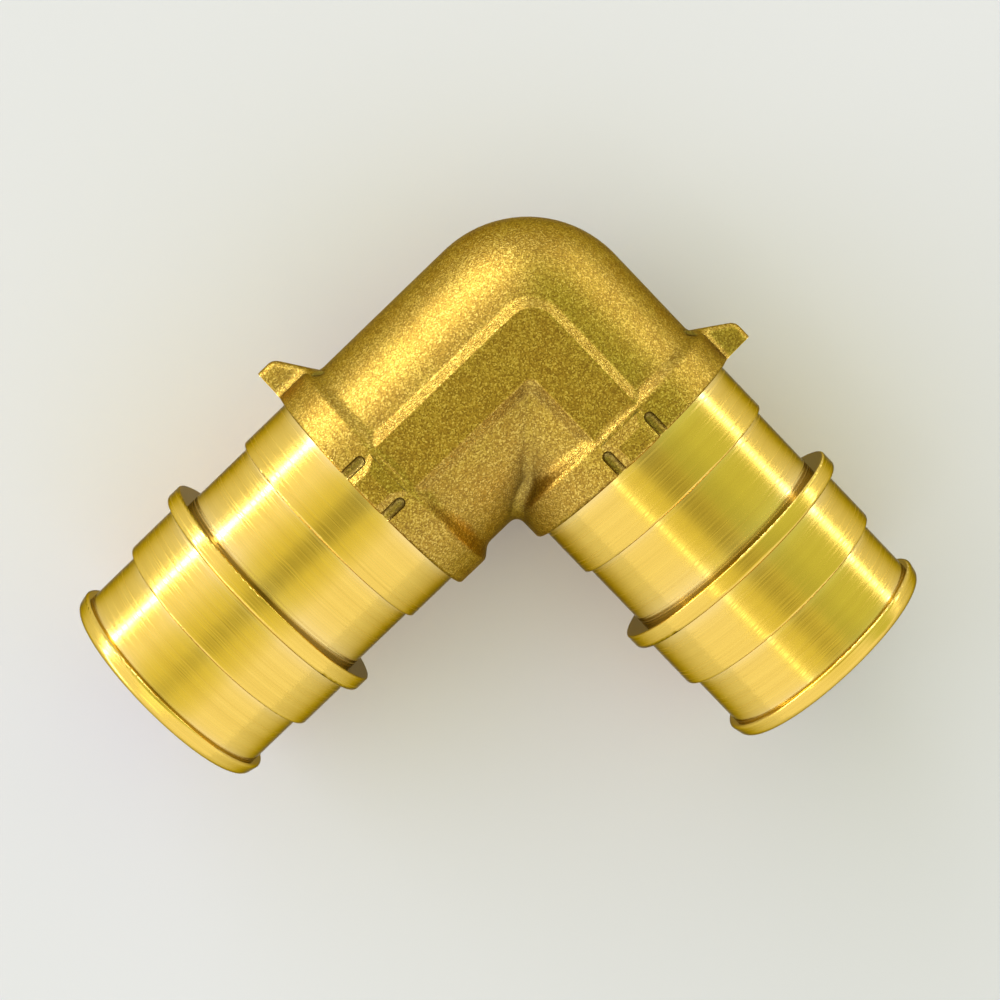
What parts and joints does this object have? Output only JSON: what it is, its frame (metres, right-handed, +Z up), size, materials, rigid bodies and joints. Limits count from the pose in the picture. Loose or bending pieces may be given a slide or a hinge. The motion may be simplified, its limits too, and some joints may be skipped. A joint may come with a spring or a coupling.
{
  "type": "pipe elbow",
  "caption": "Forged brass right-angle pipe elbow with turned, ribbed inserts for cold-expansion pipe, flared stop collars with fins, a raised chevron pad and a drilled waterway.",
  "frame": {"origin": "where the axes of the two legs cross", "axes": "+X out along the long leg, +Y out along the short leg, +Z up, square to the elbow's plane, as it lies on its side"},
  "size_m": [0.0675, 0.0608, 0.0272],
  "materials": {
    "brass": "shot-blasted forged skin on the bend and collars, satin turned finish on the inserts"
  },
  "bodies": {
    "root": {"elbow": "brass"}
  },
  "joints": []
}
